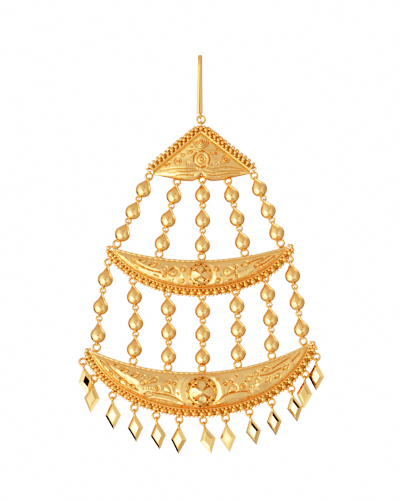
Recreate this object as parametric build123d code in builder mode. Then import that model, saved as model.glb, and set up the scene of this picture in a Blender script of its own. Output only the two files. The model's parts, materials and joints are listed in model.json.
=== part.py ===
from build123d import *
import os
from collections import namedtuple
from math import acos, atan2, cos, degrees, hypot, radians, sin, sqrt

# A gold maang tikka: a hair hook, a jump ring, a tent-shaped top plate and two crescent
# plates joined by strings of drop beads, with a fringe of diamond dangles.
#
# Lengths are in millimetres and angles in degrees. +Z is up, the front faces -Y and +X is to
# the right as seen from the front. The origin is where the hook bears on the hair, at the
# inside of its bend. Each plate is drawn in its own upright plane, with x to the right, y up
# and its normal towards the front. A tilt turns that plane's right side up.

# --- Hook ---
hook_gap = 5.2  # clear width between the two legs
hook_depth = 1.0  # thickness of the bar, front to back
hook_top_width = 1.2  # width of the bar at the bend
hook_foot_width = 1.65  # width of the front leg above its eye
hook_eye_drop = 17.5  # from the origin down to the middle of the eye
rear_straight = 6.0  # straight part of the rear leg
rear_flare_radius = 14.0
rear_flare_angle = 20.0

# --- Rings, each with the radius of its wire's centre line ---
ring_wire = 0.5
heavy_wire = 0.6
hook_ring_r = 1.2
link_ring_r = 0.82
hanging_ring_r = 1.0  # soldered under a plate
standing_ring_r = 1.1  # soldered on the upper edge of a crescent
dangle_ring_r = 1.02  # soldered under the lower crescent

# --- Eyes, which stand edge-on in the rings ---
eye_wire = 0.4
eye_hole_r = 0.34
heavy_eye_wire = 0.46
heavy_eye_hole_r = 0.4

# --- Drop bead ---
ball_r = 1.8
ball_sink = 0.3  # the ball's middle lies this far below the middle of its frame
bead_frame_r = 2.3  # round foot of the drop-shaped wire frame
bead_frame_gap = 0.32  # from the frame's point up to the middle of the upper eye
bead_frame_depth = 0.8
bead_eye_up = 2.8  # from the frame's middle up to the upper eye, with no neck
bead_eye_down = 2.64
upper_neck_share = 0.67  # a longer bead is longer mostly above its frame
neck_r = 0.26
beads_per_string = 3

# --- Plates ---
plate_back = 1.0  # the flat backs lie this far behind the rings
plate_rim = 0.4  # front of a plate's flat margin
rope_r = 0.45
border_wire_r = 0.4
band_width = 2.6  # granulated band outside a border wire
band_end_inset = 0.5  # the band's outer edge stops short of the tips
band_back = 0.7
band_front = 0.6

# --- Top plate, measured from the middle of its loop ---
top_tilt = 0.5
tent_peak = -2.4
tent_corner = (14.6, -14.1)
tent_foot = (14.6, -15.05)
tent_flank = (7.5, -16.45)
lobe_start = (5.8, -16.85)
lobe_bottom = (4.05, -17.0)
lobe_side = (1.3, -16.35)
lobe_cusp = -14.5
tent_dome_foot_scale = 0.97
tent_dome_scale = 0.72
tent_dome_height = 1.5
tent_band_width = 2.45
tent_band_end = ((16.0, -14.9), (16.6, -13.3))
tent_band_peak_round = 4.4
tent_medallion = (0.15, -10.75)
tent_medallion_r = 2.4
tent_shell = (0.05, -5.1)
tent_shell_r = 2.1
boss_height = 0.5  # how far medallion and shell stand out of the dome

# --- Crescents: the lower edge is part of an ellipse, the upper edge an arc ---
Crescent = namedtuple(
    "Crescent", "x drop tilt tip_x half_width depth belly dome_height rosette_r rosette_y"
)
middle = Crescent(
    x=-0.3,
    drop=61.0,  # from the origin down to the middle of the upper edge
    tilt=0.5,
    tip_x=26.2,
    half_width=28.5,  # of the whole ellipse
    depth=19.8,  # of the whole ellipse
    belly=8.0,  # height of the crescent at its middle
    dome_height=1.3,
    rosette_r=3.6,
    rosette_y=-4.05,
)
lower = Crescent(
    x=0.0,
    drop=94.55,
    tilt=1.8,
    tip_x=32.8,
    half_width=34.0,
    depth=24.9,
    belly=10.65,
    dome_height=1.6,
    rosette_r=4.8,
    rosette_y=-5.6,
)
dome_inset = 1.6  # the dome's top is this much smaller than the plate all round
dome_tip_inset = 6.0
rosette_sides = 8
rosette_collar = 0.5  # height of the collar above the dome
rosette_peak = 0.8  # height of the faceted top above its collar
rosette_top_share = 0.94  # faceted top at its foot, against the rosette's radius
rosette_tip_share = 0.15

# --- Soldered rings, by their place on each edge ---
tent_rings = ((-15.75, -15.7), (-7.4, -17.4), (0.15, -16.9), (7.9, -17.3), (15.75, -15.7))
standing_rise = 1.15  # of a ring's middle above the upper edge
standing_end_rise = 1.6  # the same beside the tips
middle_standing_x = (-24.9, -12.3, 0.5, 13.4, 24.2)
lower_standing_x = (-31.0, -20.4, -9.9, 0.3, 11.0, 21.2, 30.9)
Hanging = namedtuple("Hanging", "x sink")  # sink is the middle's distance below the lower edge
middle_hanging_rings = (
    Hanging(-27.5, 3.6),
    Hanging(-20.4, 3.3),
    Hanging(-9.9, 3.1),
    Hanging(0.5, 2.9),
    Hanging(10.5, 2.75),
    Hanging(19.4, 2.6),
    Hanging(26.85, 2.8),
)
dangle_ring_sink = 3.45

# --- How far each string bows sideways, from the left ---
upper_bows = (0.0, 0.0, 0.1, 0.0, 0.0)
lower_bows = (-0.7, 0.9, 0.2, 0.1, 0.4, 0.6, 0.0)

# --- Dangles, from the left: place, swing to the right, lean of the foot forward, turn ---
Dangle = namedtuple("Dangle", "x swing lean turn")
dangles = (
    Dangle(-35.2, 10.6, -14.0, 0.0),
    Dangle(-32.0, -5.5, 5.0, -14.0),
    Dangle(-26.6, 1.7, -3.0, -12.0),
    Dangle(-20.2, 3.4, -4.0, -15.0),
    Dangle(-13.7, 5.8, -4.0, -16.0),
    Dangle(-6.8, -1.5, -4.0, -15.0),
    Dangle(0.3, 13.6, 6.0, -7.0),
    Dangle(7.1, 6.7, -3.0, -10.0),
    Dangle(14.2, 12.0, -7.0, -17.0),
    Dangle(21.0, 7.4, -7.0, -15.0),
    Dangle(27.0, 10.2, -6.0, -16.0),
    Dangle(31.4, -2.7, 8.0, -12.0),
    Dangle(34.9, 0.0, -7.0, -12.0),
)
diamond_width = 5.0
diamond_height = 8.8
diamond_back = 0.3
diamond_rim = 0.05
diamond_table = 0.85
diamond_table_share = 0.55  # of the outline
diamond_drop = 0.35  # from the middle of the eye down to the diamond's upper point

# --- Worked out from the above ---
leg_y = (hook_gap + hook_depth) / 2
pendant_y = -leg_y  # everything hangs in the plane of the front leg
hook_eye_z = -hook_eye_drop
hook_ring_z = hook_eye_z - hook_ring_r
loop_z = hook_ring_z - hook_ring_r

os.makedirs("parts", exist_ok=True)


def finish(part, name):
    part.label = name
    export_step(part, f"parts/{name}.step")
    print(f"{name}: {len(part.solids())} solids, {part.volume:.1f} mm3")


def upright(x, z, up_turn=0.0):
    """The plane that faces the front at (x, z), its own up turned to the right of +Z."""
    across = (cos(radians(up_turn)), 0, -sin(radians(up_turn)))
    return Plane(origin=(x, pendant_y, z), x_dir=across, z_dir=(0, -1, 0))


def on_plate(plate, spot):
    """The (x, z) of a spot that is given on a plate's own plane."""
    point = plate.from_local_coords((spot[0], spot[1], 0))
    return point.X, point.Z


def eye(at, hole_r, wire):
    """A wire eye around the origin of the plane at, standing edge-on to the front."""
    with Locations(Plane(origin=at.origin, z_dir=at.x_dir)):
        Torus(hole_r + wire / 2, wire / 2)


def rings(spots, ring_r, wire):
    """Face-on wire rings around each (x, z)."""
    with Locations(*[upright(x, z) for x, z in spots]):
        Torus(ring_r, wire / 2)


# --- Hook and its ring ---


def hook():
    bend_z = -hook_gap / 2
    foot_z = hook_eye_z + heavy_eye_hole_r + heavy_eye_wire / 2
    with BuildPart() as bar:
        with BuildLine(Plane.YZ) as spine:
            bend = ThreePointArc((-leg_y, bend_z), (0, bend_z + leg_y), (leg_y, bend_z))
            rear = Line(bend @ 1, bend @ 1 - Vector(0, 0, rear_straight))
            JernArc(rear @ 1, rear % 1, rear_flare_radius, rear_flare_angle)
        with BuildSketch(Plane(origin=(0, -leg_y, bend_z))):
            Ellipse(hook_top_width / 2, hook_depth / 2)
        sweep()
        with Locations(spine.line @ 1):
            Sphere(hook_top_width / 2)
        with BuildSketch(Plane(origin=(0, pendant_y, bend_z))):
            Ellipse(hook_top_width / 2, hook_depth / 2)
        with BuildSketch(Plane(origin=(0, pendant_y, foot_z))):
            Ellipse(hook_foot_width / 2, hook_depth / 2)
        loft()
        eye(upright(0, hook_eye_z), heavy_eye_hole_r, heavy_eye_wire)
    return bar.part


def hook_ring():
    with BuildPart() as ring:
        rings([(0, hook_ring_z)], hook_ring_r, heavy_wire)
    return ring.part


# --- Plates ---


def tent_outline(scale=1.0):
    """The top plate's outline, shrunk towards its medallion."""
    middle_y = tent_medallion[1]

    def at(x, y):
        return x * scale, middle_y + (y - middle_y) * scale

    with BuildSketch() as outline:
        with BuildLine():
            Polyline(at(0, tent_peak), at(*tent_corner), at(*tent_foot), at(*tent_flank))
            ThreePointArc(at(*tent_flank), at(*lobe_start), at(*lobe_bottom))
            ThreePointArc(at(*lobe_bottom), at(*lobe_side), at(0, lobe_cusp))
            mirror(about=Plane.YZ)
        make_face()
    return outline.sketch


def soldered_rings(plate, spots, ring_r):
    """Face-on rings soldered to a plate, at spots on the plate's own plane."""
    rings([on_plate(plate, spot) for spot in spots], ring_r, ring_wire)


def top_plate():
    slant = hypot(tent_corner[0], tent_peak - tent_corner[1])
    band_peak = tent_peak + tent_band_width * slant / tent_corner[0]
    with BuildPart() as tent:
        with BuildSketch(top_plane.offset(-plate_back)):
            add(tent_outline())
        extrude(amount=plate_back + plate_rim)
        with BuildSketch(top_plane.offset(plate_rim)):
            add(tent_outline(tent_dome_foot_scale))
        with BuildSketch(top_plane.offset(plate_rim + tent_dome_height)):
            add(tent_outline(tent_dome_scale))
        loft(ruled=True)
        with BuildSketch(top_plane):
            with Locations(tent_medallion):
                Circle(tent_medallion_r)
            with Locations(tent_shell):
                Circle(tent_shell_r)
        extrude(amount=plate_rim + tent_dome_height + boss_height)
        with BuildSketch(top_plane.offset(-band_back)):
            with BuildLine():
                Polyline((0, tent_peak), tent_corner, tent_foot, *tent_band_end, (0, band_peak))
                mirror(about=Plane.YZ)
            make_face()
            fillet(vertices().sort_by(Axis.Y)[-1], tent_band_peak_round)
        extrude(amount=band_back + band_front)
        with BuildLine(top_plane.offset(plate_rim)) as border:
            Polyline((-tent_corner[0], tent_corner[1]), (0, tent_peak), tent_corner)
        with BuildSketch(Plane(border.line @ 0, z_dir=border.line % 0)):
            Circle(border_wire_r)
        sweep(transition=Transition.ROUND)
        eye(top_plane, heavy_eye_hole_r, heavy_eye_wire)
        soldered_rings(top_plane, tent_rings, hanging_ring_r)
    return tent.part


# --- Crescents ---


def ellipse_y(shape, x, grow=0.0):
    """Height of the lower edge at x, for the ellipse grown by some width all round."""
    middle_y = shape.depth - shape.belly
    share = x / (shape.half_width + grow)
    return middle_y - (shape.depth + grow) * sqrt(1 - share**2)


def arc_y(shape, x):
    """Height of the upper edge at x: an arc through both tips and the origin."""
    tip_y = ellipse_y(shape, shape.tip_x)
    radius = (shape.tip_x**2 + tip_y**2) / (2 * tip_y)
    return radius - sqrt(radius**2 - x**2)


def lower_arc(shape, grow=0.0, tip_x=None):
    """The lower edge from tip to tip."""
    middle_y = shape.depth - shape.belly
    tip_angle = degrees(acos((tip_x or shape.tip_x) / shape.half_width))
    return EllipticalCenterArc(
        (0, middle_y),
        shape.half_width + grow,
        shape.depth + grow,
        start_angle=180 + tip_angle,
        arc_size=180 - 2 * tip_angle,
    )


def crescent_outline(shape):
    with BuildSketch() as outline:
        with BuildLine():
            edge = lower_arc(shape)
            ThreePointArc(edge @ 0, (0, 0), edge @ 1)
        make_face()
    return outline.sketch


def dome_outline(shape):
    with BuildSketch() as outline:
        with BuildLine():
            edge = lower_arc(shape, -dome_inset, shape.tip_x - dome_tip_inset)
            ThreePointArc(edge @ 0, (0, -dome_inset), edge @ 1)
        make_face()
    return outline.sketch


def crescent(shape, plane, standing, hanging, hanging_r):
    with BuildPart() as plate:
        with BuildSketch(plane.offset(-plate_back)):
            add(crescent_outline(shape))
        extrude(amount=plate_back + plate_rim)
        with BuildSketch(plane.offset(plate_rim)):
            add(crescent_outline(shape))
        with BuildSketch(plane.offset(plate_rim + shape.dome_height)):
            add(dome_outline(shape))
        loft(ruled=True)
        with BuildSketch(plane.offset(-band_back)):
            with BuildLine():
                inner = lower_arc(shape)
                outer = lower_arc(shape, band_width, shape.tip_x - band_end_inset)
                Line(inner @ 0, outer @ 0)
                Line(inner @ 1, outer @ 1)
            make_face()
        extrude(amount=band_back + band_front)
        with BuildLine(plane.offset(plate_rim)) as rope:
            ThreePointArc(
                (-shape.tip_x, arc_y(shape, shape.tip_x)),
                (0, 0),
                (shape.tip_x, arc_y(shape, shape.tip_x)),
            )
        with BuildSketch(Plane(rope.line @ 0, z_dir=rope.line % 0)):
            Circle(rope_r)
        sweep()
        with BuildLine(plane.offset(plate_rim)) as border:
            lower_arc(shape)
        with BuildSketch(Plane(border.line @ 0, z_dir=border.line % 0)):
            Circle(border_wire_r)
        sweep()
        collar_front = plate_rim + shape.dome_height + rosette_collar
        with BuildSketch(plane):
            with Locations((0, shape.rosette_y)):
                Circle(shape.rosette_r)
        extrude(amount=collar_front)
        with BuildSketch(plane.offset(collar_front)):
            with Locations((0, shape.rosette_y)):
                RegularPolygon(shape.rosette_r * rosette_top_share, rosette_sides)
        with BuildSketch(plane.offset(collar_front + rosette_peak)):
            with Locations((0, shape.rosette_y)):
                RegularPolygon(shape.rosette_r * rosette_tip_share, rosette_sides)
        loft(ruled=True)
        soldered_rings(plane, standing, standing_ring_r)
        soldered_rings(plane, hanging, hanging_r)
    return plate.part


def standing_spots(shape, places):
    """Where rings stand on the upper edge, a little higher beside the tips."""
    rises = [standing_end_rise] + [standing_rise] * (len(places) - 2) + [standing_end_rise]
    return [(x, arc_y(shape, x) + rise) for x, rise in zip(places, rises)]


def hanging_spot(shape, x, sink):
    return x, ellipse_y(shape, x, sink)


# --- Strings of drop beads ---


def string_holes(start, end, bow):
    """The middles of a string's eyes, two for each bead, between two soldered rings."""
    (x0, z0), (x1, z1) = start, end
    length = hypot(x1 - x0, z1 - z0)
    along = ((x1 - x0) / length, (z1 - z0) / length)
    side = (-along[1], along[0])
    span = length - hanging_ring_r - standing_ring_r
    bead_span = (span - (beads_per_string - 1) * 2 * link_ring_r) / beads_per_string
    holes = []
    for number in range(beads_per_string):
        upper = hanging_ring_r + number * (bead_span + 2 * link_ring_r)
        holes += [upper, upper + bead_span]
    spots = []
    for reach in holes:
        share = reach / length
        out = 4 * bow * share * (1 - share)
        spots.append(
            (
                x0 + along[0] * reach + side[0] * out,
                z0 + along[1] * reach + side[1] * out,
            )
        )
    return spots


def drop_bead(top, foot):
    """A ball in a drop-shaped wire frame, its two eyes around top and foot."""
    lean = degrees(atan2(top[0] - foot[0], top[1] - foot[1]))
    reach = hypot(top[0] - foot[0], top[1] - foot[1])
    neck = reach - bead_eye_up - bead_eye_down
    upper_hole = bead_eye_up + neck * upper_neck_share
    lower_hole = reach - upper_hole
    frame_peak = upper_hole - bead_frame_gap
    share = lower_hole / reach
    middle_x = foot[0] + (top[0] - foot[0]) * share
    middle_z = foot[1] + (top[1] - foot[1]) * share
    frame = upright(middle_x, middle_z, lean)
    touch = acos(bead_frame_r / frame_peak)
    shoulder = (bead_frame_r * sin(touch), bead_frame_r * cos(touch))
    with BuildPart() as bead:
        with Locations(frame * Location((0, -ball_sink, 0))):
            Sphere(ball_r)
        with BuildSketch(frame.offset(-bead_frame_depth / 2)):
            with BuildLine():
                ThreePointArc((-shoulder[0], shoulder[1]), (0, -bead_frame_r), shoulder)
                Polyline((-shoulder[0], shoulder[1]), (0, frame_peak), shoulder)
            make_face()
        extrude(amount=bead_frame_depth)
        for side, hole in ((1, upper_hole), (-1, lower_hole)):
            ring = frame.from_local_coords((0, side * hole, 0))
            post = hole - eye_hole_r - eye_wire / 2
            with BuildSketch(
                Plane(origin=frame.origin, x_dir=frame.x_dir, z_dir=frame.y_dir * side)
            ):
                Circle(neck_r)
            extrude(amount=post)
            eye(Plane(origin=ring, x_dir=frame.x_dir, z_dir=frame.z_dir), eye_hole_r, eye_wire)
    return bead.part


def string_of_beads(name, start, end, bow):
    """Writes one string's beads and returns the middles of its link rings."""
    holes = string_holes(start, end, bow)
    for number in range(beads_per_string):
        top, foot = holes[2 * number], holes[2 * number + 1]
        finish(drop_bead(top, foot), f"{name}_bead_{number + 1}")
    links = []
    for number in range(1, beads_per_string):
        above, below = holes[2 * number - 1], holes[2 * number]
        links.append(((above[0] + below[0]) / 2, (above[1] + below[1]) / 2))
    return links


def strings_between(name, starts, ends, bows):
    """Writes a row of strings, and its link rings as one node for each level."""
    levels = [[] for _ in range(beads_per_string - 1)]
    for number, (start, end, bow) in enumerate(zip(starts, ends, bows), 1):
        links = string_of_beads(f"{name}_{number}", start, end, bow)
        for level, spot in zip(levels, links):
            level.append(spot)
    for number, level in enumerate(levels, 1):
        with BuildPart() as links:
            rings(level, link_ring_r, ring_wire)
        finish(links.part, f"{name}_links_{number}")


# --- Dangles ---


def diamond(scale=1.0):
    """A diamond outline below the origin, shrunk towards its own middle."""
    middle_y = -diamond_drop - diamond_height / 2
    half_w = diamond_width / 2 * scale
    half_h = diamond_height / 2 * scale
    with BuildSketch() as outline:
        with BuildLine():
            Polyline(
                (0, middle_y + half_h),
                (half_w, middle_y),
                (0, middle_y - half_h),
                (-half_w, middle_y),
                close=True,
            )
        make_face()
    return outline.sketch


def dangle(row, ring_x, ring_z):
    swing = radians(row.swing)
    hole_x = ring_x + dangle_ring_r * sin(swing)
    hole_z = ring_z - dangle_ring_r * cos(swing)
    hung = upright(hole_x, hole_z, -row.swing)
    plane = Plane(hung.location * Location((0, 0, 0), (-row.lean, row.turn, 0)))
    with BuildPart() as drop:
        with BuildSketch(plane.offset(-diamond_back)):
            add(diamond())
        extrude(amount=diamond_back + diamond_rim)
        with BuildSketch(plane.offset(diamond_rim)):
            add(diamond())
        with BuildSketch(plane.offset(diamond_table)):
            add(diamond(diamond_table_share))
        loft(ruled=True)
        eye(plane, eye_hole_r, eye_wire)
    return drop.part


# --- The whole ornament ---

top_plane = upright(0, loop_z, -top_tilt)
middle_plane = upright(middle.x, -middle.drop, -middle.tilt)
lower_plane = upright(lower.x, -lower.drop, -lower.tilt)

middle_standing = standing_spots(middle, middle_standing_x)
middle_hanging = [hanging_spot(middle, row.x, row.sink) for row in middle_hanging_rings]
lower_standing = standing_spots(lower, lower_standing_x)
lower_hanging = [hanging_spot(lower, row.x, dangle_ring_sink) for row in dangles]

finish(hook(), "hook")
finish(hook_ring(), "hook_ring")
finish(top_plate(), "top_plate")
finish(
    crescent(middle, middle_plane, middle_standing, middle_hanging, hanging_ring_r),
    "middle_crescent",
)
finish(
    crescent(lower, lower_plane, lower_standing, lower_hanging, dangle_ring_r),
    "lower_crescent",
)
strings_between(
    "upper_string",
    [on_plate(top_plane, spot) for spot in tent_rings],
    [on_plate(middle_plane, spot) for spot in middle_standing],
    upper_bows,
)
strings_between(
    "lower_string",
    [on_plate(middle_plane, spot) for spot in middle_hanging],
    [on_plate(lower_plane, spot) for spot in lower_standing],
    lower_bows,
)
for number, (row, spot) in enumerate(zip(dangles, lower_hanging), 1):
    finish(dangle(row, *on_plate(lower_plane, spot)), f"dangle_{number}")
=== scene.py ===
import json
import math
from collections import namedtuple

import bmesh
import bpy
import numpy as np
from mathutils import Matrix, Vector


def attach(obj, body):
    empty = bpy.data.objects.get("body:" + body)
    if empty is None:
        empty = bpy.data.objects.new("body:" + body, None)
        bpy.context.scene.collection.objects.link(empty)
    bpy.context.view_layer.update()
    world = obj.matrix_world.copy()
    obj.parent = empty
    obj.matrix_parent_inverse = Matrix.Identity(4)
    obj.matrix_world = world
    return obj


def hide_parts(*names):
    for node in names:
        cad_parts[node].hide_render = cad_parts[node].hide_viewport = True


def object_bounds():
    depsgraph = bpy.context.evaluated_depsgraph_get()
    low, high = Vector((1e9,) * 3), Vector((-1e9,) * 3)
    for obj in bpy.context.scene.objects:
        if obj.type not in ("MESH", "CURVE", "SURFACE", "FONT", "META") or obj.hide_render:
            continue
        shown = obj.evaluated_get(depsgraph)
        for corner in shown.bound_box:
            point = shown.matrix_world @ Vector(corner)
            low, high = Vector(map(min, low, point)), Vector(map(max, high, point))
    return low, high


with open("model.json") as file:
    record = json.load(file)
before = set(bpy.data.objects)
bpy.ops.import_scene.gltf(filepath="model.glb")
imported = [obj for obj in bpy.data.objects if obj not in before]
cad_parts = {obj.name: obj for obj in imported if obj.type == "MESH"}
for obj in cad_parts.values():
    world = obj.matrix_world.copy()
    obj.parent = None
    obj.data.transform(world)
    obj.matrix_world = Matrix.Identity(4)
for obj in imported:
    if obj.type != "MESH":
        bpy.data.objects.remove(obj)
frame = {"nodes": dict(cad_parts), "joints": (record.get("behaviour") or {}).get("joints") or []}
cad_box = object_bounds()

# A gold maang tikka. Shapes are worked out in millimetres, and become metres when a piece is
# made. A plate is drawn on its own upright plane: x to its right, y up, h towards the front.
MM = 0.001
FRONT = np.array((0.0, -1.0, 0.0))

# --- Measures ---

# Radii of the rings, to the wire's middle, and of their wires.
Ring = namedtuple("Ring", "radius wire")
HOOK_EYE = Ring(0.8, 0.33)
JUMP_RING = Ring(1.15, 0.38)
LOOP = Ring(0.79, 0.32)
HANGING_RING = Ring(0.97, 0.4)
STANDING_RING = Ring(1.05, 0.4)
DANGLE_RING = Ring(1.02, 0.4)
LINK_RING = Ring(0.8, 0.34)
BEAD_EYE = Ring(0.44, 0.3)
DANGLE_EYE = Ring(0.54, 0.36)
# The CAD nodes' own, from which places are worked out.
CAD_JUMP_RING = 1.2
CAD_EYE = Ring(0.54, 0.2)

# Painted shade on a part, from 0 in the open to 1 in a hollow: it makes the gold's colour deeper and
# darker, in place of shade and of gold reflected in gold.
RING_SHADE = 0.3
BALL_SHADE = 0.14
HOOK_SHADE = 0.12
BAND_SHADE = 0.62
BAND_BACK_SHADE = 0.12
PLATE_EDGE_SHADE = 0.26
STRAND_SHADE = 0.26
BEAD_RIM_SHADE = 0.3
BEAD_DISC_SHADE = 0.15
ORNAMENT_SHADE = 0.72  # share of an ornament's own painted shade that is kept

Hook = namedtuple("Hook", "gap depth top_width foot_width straight flare_radius flare_angle")
hook_shape = Hook(5.2, 1.0, 1.43, 1.97, 6.0, 14.0, 20.0)
HOOK_LEFT = 0.25  # the bar lies this far to the left,
FOOT_LEFT = 0.17  # its foot this much farther,
EYE_LEFT = 0.2  # and the eye this far
EYE_LOW = 0.05  # the eye lies this much lower than the joint
FOOT_RISE = 0.5  # and the bar's foot this much higher

Crescent = namedtuple("Crescent", "x drop tilt tip_x half_width depth belly dome rosette_r rosette_y")
middle = Crescent(-0.3, 61.15, 0.5, 26.2, 28.5, 19.8, 8.0, 1.75, 3.6, -4.05)
lower = Crescent(0.0, 94.75, 1.8, 32.8, 34.0, 24.9, 10.65, 2.1, 4.8, -5.6)
CRESCENT_STEP = 0.095  # between the points of a crescent's sheet

# In front of a plate's plane, or behind it for the backs.
PLATE_BACK = 1.0
RIM = 0.4
BAND_BACK = 0.7
BAND_FRONT = 0.1
BAND_SLOPE = 0.35  # how much lower the band's outer edge is
BAND_WIDTH = 2.3
RELIEF = 1.6  # how many times as high as drawn the ornament stands
PLATE_SLOT = "embossed_gold"

TOP_TILT = 0.5
TENT_PEAK = -2.4
TENT_CORNER = (14.6, -14.1)
TENT_FOOT = (14.6, -15.2)
TENT_LOBE = (4.05, -17.25)  # the lowest point of the right lobe
TENT_DOME = 1.9
SHELL = (0.1, -5.0)
MEDALLION = (0.15, -10.6)

# Rows of granules outside a crescent's edge: distance, pitch, radius, height, and shift as a
# share of the pitch. Balls round each of its tips: distance outwards and up, height, radius.
CRESCENT_ROWS = (
    (0.7, 1.16, 0.5, 0.6, 0.5), (1.5, 2.32, 0.86, 0.6, 0.0),
    (1.45, 2.32, 0.62, 0.45, 0.5), (2.3, 1.16, 0.52, 0.35, 0.5),
)
TIP_BALLS = (1.2, 0.3, 0.4, 0.75), (1.5, -0.75, 0.3, 0.68), (0.35, 0.55, 0.3, 0.5)
# The same on the top plate's upper sides, all at one pitch. Its balls: x, y, height, radius.
TENT_PITCH = 1.5
TENT_ROWS = (0.62, 0.5, 0.6, 0.5), (1.35, 0.7, 0.5, 0), (2.05, 0.6, 0.3, 0.5), (2.2, 0.5, 0, 0)
TENT_BALLS = (15.6, -14.5, 0.4, 0.62), (16.2, -13.5, 0.3, 0.5), (0.95, -0.92, 0.52, 0.52)
PEAK_BALL = (0, -1.35, 0.45, 0.72)
GRANULE_SLIP = (0.08, 0.08, 0.05)
GRANULE_SIZES = (0.9, 1.08)

STRINGS = {"upper": 5, "lower": 7}
BEADS = 3  # in a string
LINK_NUDGE = (0.12, 0, 0)

# A bead is drawn round the middle of its CAD ball, moved to the right and down.
BEAD_NUDGE = (0.15, -0.15)
BEAD_RADII = (2.36, 2.36, 1.35)
BEAD_FRONT = 1.37  # how many times as deep its front is
BEAD_Y = -0.3  # the middle of its round foot
BEAD_POINT = 2.8  # how far up its point is in a bead of usual length
BEAD_LENGTH = 5.44  # that length, between its eyes
UPPER_SHARE = 0.67  # of any further length, as much is above the middle
STRAND_RADIUS = 2.02  # round the foot
DISC_FRONT = 0.1
DISC_BACK = -0.4

DANGLES = 13
DANGLE_NUDGE = (-0.2, 0, -0.05)
DANGLE_STRETCH = 0.07
# Diamonds that are turned until a facet of this slope faces the front: 0 is the table's.
FACING_SLOPE = {1: 0.0, 9: 22.0, 10: 22.0, 11: 22.0}
# Sizes of the table and of the fold in the bevel, as shares of the diamond's, the height of its
# edge, and how steeply the bevel rises outside and inside the fold.
TABLE = 0.41
FOLD = 0.64
TURNED_FOLD = 0.74
EDGE_HEIGHT = 0.12
OUTER_RISE = 1.36
INNER_RISE = 0.87


def joint_spot(name):
    """A joint's place in millimetres."""
    joint = next(j for j in frame["joints"] if j["name"] == name)
    return np.array(joint["pos_m"]) / MM


hook_eye = joint_spot("ring_swing")
ring_spot = joint_spot("pendant_swing")
pendant_y = ring_spot[1]
loop_z = ring_spot[2] - CAD_JUMP_RING


# --- Points and paths ---


def direction(run):
    """A vector of length 1 along this one, or along each of these."""
    return run / np.linalg.norm(run, axis=-1, keepdims=True)


class Plane:
    """An upright plane that faces the front, its right side tilted up by some degrees."""

    def __init__(self, x, z, tilt=0.0):
        turn = math.radians(tilt)
        self.origin = np.array((x, pendant_y, z))
        across = (math.cos(turn), 0, math.sin(turn))
        up = (-math.sin(turn), 0, math.cos(turn))
        self.axes = np.array((across, up, FRONT))

    def place(self, points):
        return self.origin + np.asarray(points, float) @ self.axes

    def spot(self, x, y, h=0.0):
        return self.place([(x, y, h)])[0]

    def local(self, point):
        return (np.asarray(point) - self.origin) @ self.axes.T


def arc(x, y, radius, start, end, count=24):
    """Points of an arc, its angles in degrees from the right, turning to the left."""
    angles = np.radians(np.linspace(start, end, count))
    return np.stack([x + radius * np.cos(angles), y + radius * np.sin(angles)], 1)


def arc_through(a, b, c, count=24):
    """Points of the arc from a through b to c."""
    (ax, ay), (bx, by), (cx, cy) = a, b, c
    d = 2 * (ax * (by - cy) + bx * (cy - ay) + cx * (ay - by))
    qa, qb, qc = ax * ax + ay * ay, bx * bx + by * by, cx * cx + cy * cy
    x = (qa * (by - cy) + qb * (cy - ay) + qc * (ay - by)) / d
    y = (qa * (cx - bx) + qb * (ax - cx) + qc * (bx - ax)) / d
    turns = [math.degrees(math.atan2(py - y, px - x)) for px, py in (a, b, c)]
    start, mid, end = turns
    if not min(start, end) < mid < max(start, end):
        start, end = (start + 360, end) if start < end else (start, end + 360)
    return arc(x, y, math.hypot(ax - x, ay - y), start, end, count)


def smooth(points, per_span=10):
    """A smooth curve through the points (Catmull-Rom)."""
    p = np.asarray(points, float)
    p = np.vstack([2 * p[0] - p[1], p, 2 * p[-1] - p[-2]])
    t = np.linspace(0, 1, per_span, endpoint=False)[:, None]
    spans = []
    for a, b, c, d in zip(p, p[1:], p[2:], p[3:]):
        curve = 2 * b + (c - a) * t + (2 * a - 5 * b + 4 * c - d) * t**2
        spans.append((curve + (3 * b - a - 3 * c + d) * t**3) / 2)
    return np.vstack(spans + [p[-2:-1]])


def along(path):
    """How far along the path each of its points lies."""
    steps = np.linalg.norm(np.diff(path, axis=0), axis=1)
    return np.concatenate([[0], np.cumsum(steps)])


def spaced(path, places):
    """The path's points at these distances along it."""
    reach = along(path)
    return np.stack([np.interp(places, reach, column) for column in path.T], 1)


def offset(path, distance):
    """The path moved to its right by some distance."""
    run = direction(np.gradient(path, axis=0))
    return path + distance * np.stack([run[:, 1], -run[:, 0]], 1)


def climb(value, start, end):
    """0 before start, 1 past end, and straight between them."""
    return np.clip((value - start) / (end - start), 0, 1)


def quarter(share):
    """A quarter circle's height, 0 to 1, over this share of its width."""
    return np.sqrt(1 - (1 - share) ** 2)


def full_turn(count):
    """Angles of points all round a circle."""
    return np.linspace(0, 2 * np.pi, count, endpoint=False)


def in_3d(path, h):
    return np.column_stack([path, np.full(len(path), h)])


# --- Meshes ---


def grid_faces(rows, columns, around=False):
    """Quads between the points of a grid, closed round its columns if asked."""
    row, column = np.meshgrid(np.arange(rows - 1), np.arange(columns - (not around)))
    row, column = row.ravel(), column.ravel()
    after = (column + 1) % columns
    corners = (row, column), (row + 1, column), (row + 1, after), (row, after)
    return np.stack([r * columns + c for r, c in corners], 1)


def unit_ball(subdivisions):
    """Points and triangles of a ball of radius 1."""
    work = bmesh.new()
    bmesh.ops.create_icosphere(work, subdivisions=subdivisions, radius=1)
    points = np.array([v.co[:] for v in work.verts])
    faces = np.array([[v.index for v in f.verts] for f in work.faces])
    work.free()
    return points, faces


chance = np.random.default_rng(7)
SMALL_BALL = unit_ball(2)
LARGE_BALL = unit_ball(4)


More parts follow.
